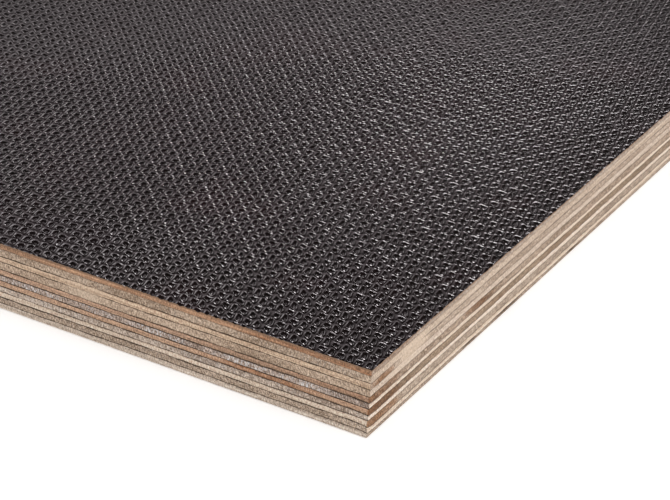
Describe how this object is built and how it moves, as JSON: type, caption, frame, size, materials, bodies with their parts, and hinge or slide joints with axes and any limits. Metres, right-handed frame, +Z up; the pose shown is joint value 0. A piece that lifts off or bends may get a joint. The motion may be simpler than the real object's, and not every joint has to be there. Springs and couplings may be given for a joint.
{
  "type": "anti-slip film-faced plywood sheet",
  "caption": "Flat plywood sheet of cross-laminated veneers, with a mesh-pressed anti-slip dark film on top and bare sawn edges that show the plies.",
  "frame": {"origin": "centre of the underside, which lies on the floor", "axes": "+X along the length and the face grain, +Y across the sheet, +Z up out of the anti-slip side"},
  "size_m": [2.44, 1.22, 0.018],
  "materials": {
    "tread_film": "dark brown phenolic film with a pressed woven-mesh relief, semi-gloss",
    "long_grain_veneer": "bare sawn veneer, grain along the length",
    "crossband_veneer": "bare sawn veneer, grain across the length"
  },
  "bodies": {
    "root": {"tread_film": "tread_film", "ply_01": "long_grain_veneer", "ply_02": "crossband_veneer", "ply_03": "long_grain_veneer", "ply_04": "crossband_veneer", "ply_05": "long_grain_veneer", "ply_06": "crossband_veneer", "ply_07": "long_grain_veneer", "ply_08": "crossband_veneer", "ply_09": "long_grain_veneer", "ply_10": "crossband_veneer", "ply_11": "long_grain_veneer"}
  },
  "joints": []
}
